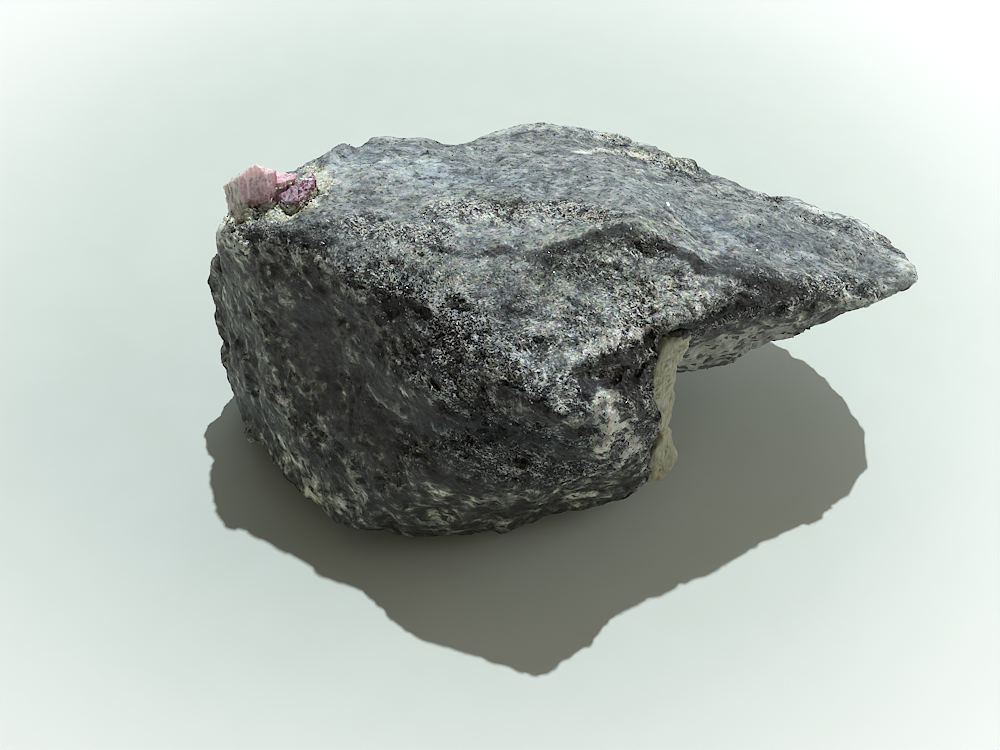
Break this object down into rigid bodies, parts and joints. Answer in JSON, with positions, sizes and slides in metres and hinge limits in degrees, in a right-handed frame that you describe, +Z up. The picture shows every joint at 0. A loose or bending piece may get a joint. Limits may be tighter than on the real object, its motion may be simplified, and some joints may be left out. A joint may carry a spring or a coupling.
{
  "type": "ruby in matrix",
  "caption": "Loose hand specimen of dark mica schist with a wedge-shaped overhanging end, a stub of ruby and a smaller ruby at its high corner, and a thin cream feldspar seam.",
  "frame": {"origin": "on the surface that the specimen lies on, under the middle of its bounding box", "axes": "+X towards the tip of the wedge, -Y out of the steep shaded face, +Z up"},
  "size_m": [0.1166, 0.0706, 0.0568],
  "materials": {
    "mica_schist": "broken, flaky, glinting",
    "cream_feldspar": "cleaved, waxy, slightly translucent",
    "ruby_red": "vitreous, cracked, translucent",
    "ruby_purple": "vitreous, striated, translucent"
  },
  "bodies": {
    "root": {"schist_matrix": "mica_schist", "feldspar_seam": "cream_feldspar", "ruby_crystal_large": "ruby_red", "ruby_crystal_small": "ruby_purple"}
  },
  "joints": []
}
